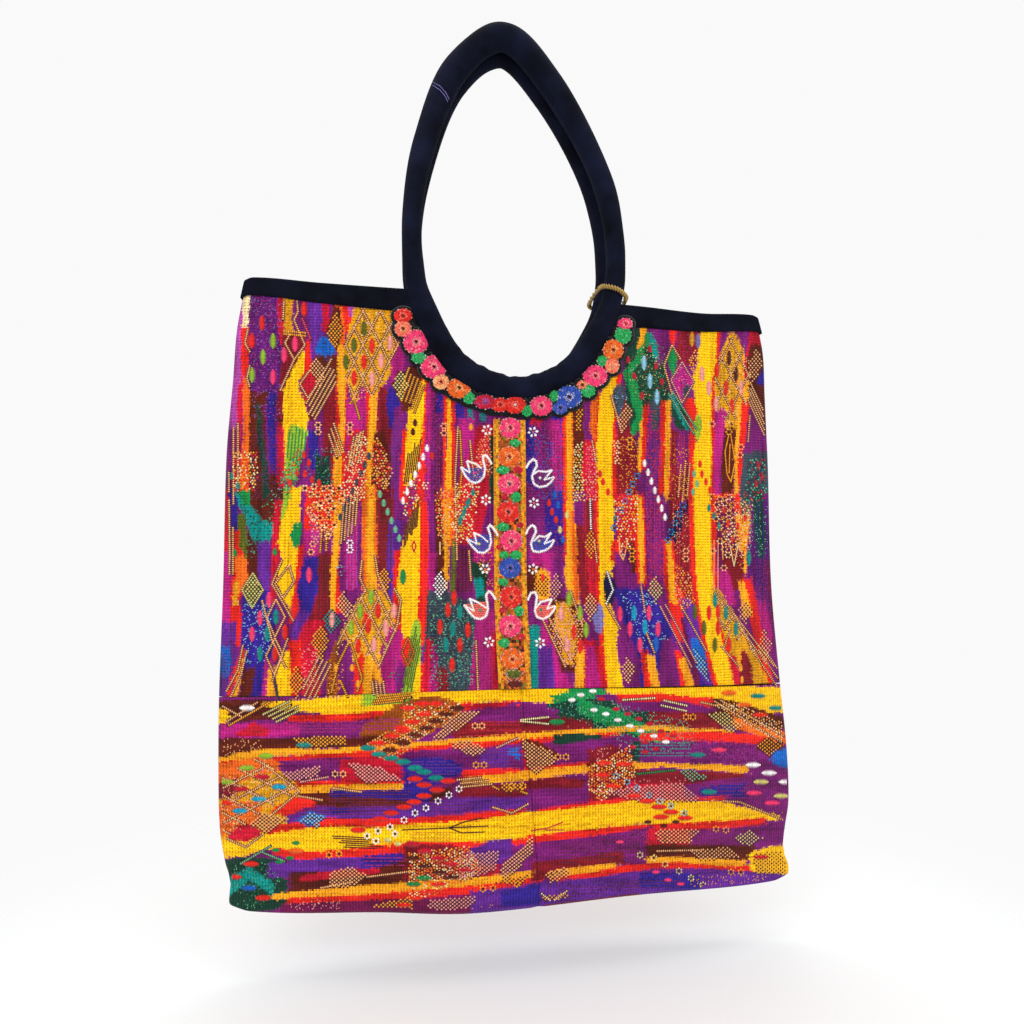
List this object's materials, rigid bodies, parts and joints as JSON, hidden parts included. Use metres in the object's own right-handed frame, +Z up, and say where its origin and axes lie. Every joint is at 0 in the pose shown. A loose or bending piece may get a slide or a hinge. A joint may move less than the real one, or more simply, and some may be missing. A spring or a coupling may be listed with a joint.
{
  "type": "tote bag",
  "caption": "Open-topped woven tote bag hanging by padded loop handles, with a scalloped embroidered collar, a flowered centre strip and a cross-striped lower band.",
  "frame": {"origin": "the point under the crown of the handles, where the bag hangs on a hook, on the seam plane between front and back", "axes": "+Z up, +X to the right of a viewer who faces the front, the embroidered front faces -Y"},
  "size_m": [0.472, 0.0658, 0.7147],
  "materials": {
    "brocade": "handwoven striped cotton with raised brocade",
    "band_cloth": "the same handwoven cloth turned on its side",
    "navy_cotton": "padded navy cotton tube",
    "navy_tape": "folded navy cotton binding",
    "embroidery": "satin stitch flowers on cotton",
    "gold_cord": "twisted gold thread"
  },
  "bodies": {
    "root": {"front_panel": "brocade", "back_panel": "brocade", "lower_left": "band_cloth", "lower_right": "band_cloth", "front_handle": "navy_cotton", "back_handle": "navy_cotton", "binding_left": "navy_tape", "binding_right": "navy_tape", "collar": "embroidery", "placket": "embroidery", "tie_cord": "gold_cord"}
  },
  "joints": []
}
